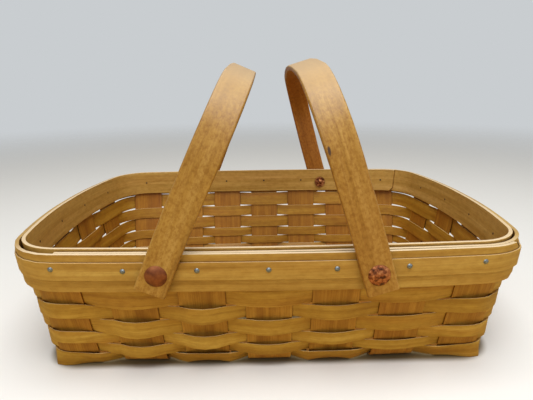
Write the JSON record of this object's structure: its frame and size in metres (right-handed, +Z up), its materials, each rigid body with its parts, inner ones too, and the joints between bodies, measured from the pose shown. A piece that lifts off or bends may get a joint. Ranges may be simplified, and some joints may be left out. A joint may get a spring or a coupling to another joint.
{
  "type": "woven basket",
  "caption": "Rectangular woven splint basket with banded rim and two arched wooden handles that swing on copper rivets.",
  "frame": {"origin": "under the middle of the overall outline at rest, on the ground", "axes": "+X along the basket's length to the right, +Y to the back, +Z up"},
  "size_m": [0.4624, 0.3448, 0.2729],
  "materials": {
    "upright_wood": "satin",
    "weaver_wood": "satin",
    "band_wood": "satin",
    "copper": "hammered and dulled",
    "steel": "dull"
  },
  "bodies": {
    "basket": {"cross_upright_1": "upright_wood", "cross_upright_2": "upright_wood", "cross_upright_3": "upright_wood", "cross_upright_4": "upright_wood", "cross_upright_5": "upright_wood", "cross_upright_6": "upright_wood", "cross_upright_7": "upright_wood", "long_upright_1": "upright_wood", "long_upright_2": "upright_wood", "long_upright_3": "upright_wood", "long_upright_4": "upright_wood", "weaver_row_1": "weaver_wood", "weaver_row_2": "weaver_wood", "weaver_row_3": "weaver_wood", "weaver_row_4": "weaver_wood", "weaver_row_5": "weaver_wood", "weaver_row_6": "weaver_wood", "inner_band": "band_wood", "outer_band": "band_wood", "trim_strip": "weaver_wood", "band_nails": "steel", "rivet_front_left": "copper", "rivet_front_right": "copper", "rivet_back_left": "copper", "rivet_back_right": "copper", "rivet_roves": "copper"},
    "left_handle": {"left_handle": "band_wood"},
    "right_handle": {"right_handle": "band_wood"}
  },
  "joints": [
    {"name": "left_handle_hinge", "type": "hinge", "parent": "basket", "child": "left_handle", "pos_m": [-0.0877, 0, 0.10815], "axis": [0, 1, 0], "range_deg": [-147, 6]},
    {"name": "right_handle_hinge", "type": "hinge", "parent": "basket", "child": "right_handle", "pos_m": [0.0829, 0, 0.10615], "axis": [0, 1, 0], "range_deg": [-6, 138]}
  ]
}
